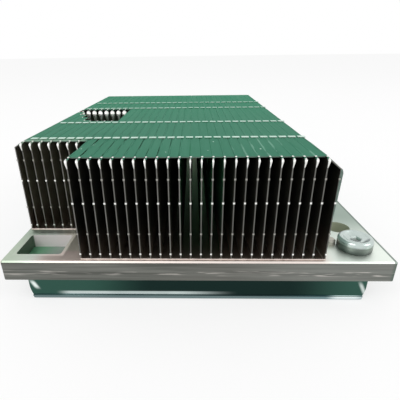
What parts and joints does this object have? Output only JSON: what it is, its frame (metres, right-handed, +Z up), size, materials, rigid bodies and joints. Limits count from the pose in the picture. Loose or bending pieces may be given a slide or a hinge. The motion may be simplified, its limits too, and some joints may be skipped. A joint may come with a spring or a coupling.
{
  "type": "passive server cpu heatsink",
  "caption": "Low passive processor heatsink: a stack of folded fins on a flat base plate, with captive screws, a corner notch, an access well and a contact plate below.",
  "frame": {"origin": "centre of the lower face of the contact plate, which is also the centre of the overall box at its bottom", "axes": "+Y along the fins from the notched end to the far end, +Z up through the fins, +X towards the bare strip with the screws"},
  "size_m": [0.0786, 0.108, 0.0304],
  "materials": {
    "base_aluminium": "milled",
    "fin_aluminium": "bright rolled sheet, green cast, bare edges",
    "contact_metal": "polished, nickel plated copper",
    "pipe_copper": "satin copper",
    "screw_steel": "bright zinc plate",
    "ring_steel": "spring steel",
    "pin_steel": "turned"
  },
  "bodies": {
    "root": {"base_plate": "base_aluminium", "contact_plate": "contact_metal", "heat_pipe_1": "pipe_copper", "heat_pipe_2": "pipe_copper", "heat_pipe_3": "pipe_copper", "heat_pipe_4": "pipe_copper", "fin_01": "fin_aluminium", "fin_02_front": "fin_aluminium", "fin_02_rear": "fin_aluminium", "fin_03_front": "fin_aluminium", "fin_03_rear": "fin_aluminium", "fin_04_front": "fin_aluminium", "fin_04_rear": "fin_aluminium", "fin_05_front": "fin_aluminium", "fin_05_rear": "fin_aluminium", "fin_06_front": "fin_aluminium", "fin_06_rear": "fin_aluminium", "fin_07_front": "fin_aluminium", "fin_07_rear": "fin_aluminium", "fin_08_front": "fin_aluminium", "fin_08_rear": "fin_aluminium", "fin_09_front": "fin_aluminium", "fin_09_rear": "fin_aluminium", "fin_10": "fin_aluminium", "fin_11": "fin_aluminium", "fin_12": "fin_aluminium", "fin_13": "fin_aluminium", "fin_14": "fin_aluminium", "fin_15": "fin_aluminium", "fin_16": "fin_aluminium", "fin_17": "fin_aluminium", "fin_18": "fin_aluminium", "fin_19": "fin_aluminium", "fin_20": "fin_aluminium", "fin_21": "fin_aluminium", "fin_22": "fin_aluminium", "fin_23": "fin_aluminium", "fin_24": "fin_aluminium", "fin_25": "fin_aluminium", "fin_26": "fin_aluminium", "fin_27": "fin_aluminium", "fin_28": "fin_aluminium", "fin_29": "fin_aluminium", "fin_30": "fin_aluminium", "fin_31": "fin_aluminium", "fin_32": "fin_aluminium", "fin_33": "fin_aluminium", "captive_screws": "screw_steel", "retaining_rings": "ring_steel", "locating_pins": "pin_steel"}
  },
  "joints": []
}
